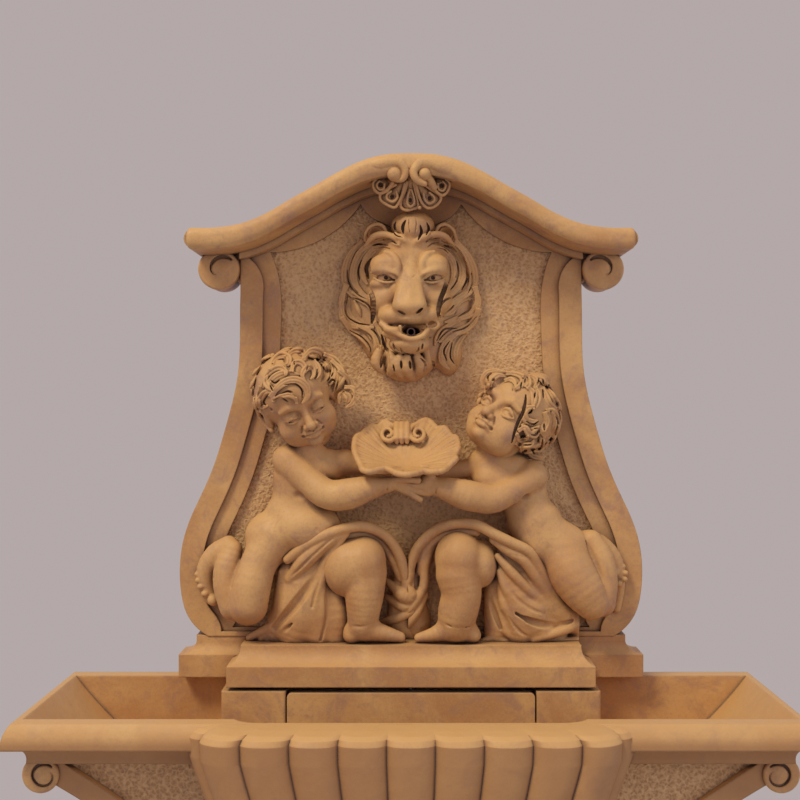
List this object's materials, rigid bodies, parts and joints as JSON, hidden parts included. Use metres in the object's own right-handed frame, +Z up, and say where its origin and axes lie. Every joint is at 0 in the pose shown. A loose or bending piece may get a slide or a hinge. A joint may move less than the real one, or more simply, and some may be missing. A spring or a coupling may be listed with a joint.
{
  "type": "garden wall fountain",
  "caption": "Cast stone wall fountain: lion mask spout over two kneeling children with a shell, above a long trough with a fluted bow front.",
  "frame": {"origin": "on the floor, in the middle of the fountain's width and depth", "axes": "+Z up; +Y into the wall that the fountain stands against, so the front faces -Y; +X to the right of someone who looks at it"},
  "size_m": [1.2204, 0.4199, 1.569],
  "materials": {
    "cast_stone": "terracotta tinted cast stone, satin with darker recesses",
    "copper_pipe": "dull copper",
    "vinyl": "clear vinyl tube",
    "black_plastic": "moulded black plastic",
    "rubber": "black rubber",
    "steel": "stainless steel",
    "brass": "brass",
    "ceramic_shaft": "white ceramic",
    "magnet": "ferrite magnet",
    "shim": "dense rubber pack"
  },
  "bodies": {
    "fountain": {"pedestal": "cast_stone", "basin": "cast_stone", "pier_left": "cast_stone", "pier_right": "cast_stone", "back_panel": "cast_stone", "front_plinth": "cast_stone", "crest_palmette": "cast_stone", "lion_mask": "cast_stone", "putto_left": "cast_stone", "putto_right": "cast_stone", "drapery_left": "cast_stone", "drapery_right": "cast_stone", "shell_dish": "cast_stone", "spout_pipe": "copper_pipe", "spout_elbow": "black_plastic", "riser_tube": "vinyl", "hose_clamps": "steel", "pump_body": "black_plastic", "pump_feet": "rubber", "rotor_shaft": "ceramic_shaft", "cable_gland": "rubber", "drain_washer": "brass", "setting_shims": "shim", "panel_dowels": "steel", "pedestal_dowels": "steel", "hanger_plates": "steel", "hanger_screws": "steel"},
    "drain_plug": {"drain_plug": "rubber"},
    "flow_dial": {"flow_dial": "black_plastic"},
    "intake_grille": {"intake_grille": "black_plastic"},
    "pump_cover": {"pump_cover": "cast_stone"},
    "rotor": {"rotor": "magnet"}
  },
  "joints": [
    {"name": "cover_slide", "type": "slide", "parent": "fountain", "child": "pump_cover", "axis": [0, -1, 0], "range_m": [0, 0.1]},
    {"name": "plug_lift", "type": "slide", "parent": "fountain", "child": "drain_plug", "axis": [0, 0, 1], "range_m": [0, 0.06]},
    {"name": "grille_slide", "type": "slide", "parent": "fountain", "child": "intake_grille", "axis": [0, -1, 0], "range_m": [0, 0.03]},
    {"name": "dial_turn", "type": "hinge", "parent": "intake_grille", "child": "flow_dial", "pos_m": [0, 0.126, 0.509], "axis": [0, 1, 0], "range_deg": [-75, 75]},
    {"name": "rotor_spin", "type": "hinge", "parent": "fountain", "child": "rotor", "pos_m": [0, 0.15, 0.509], "axis": [0, 1, 0], "continuous": true}
  ]
}
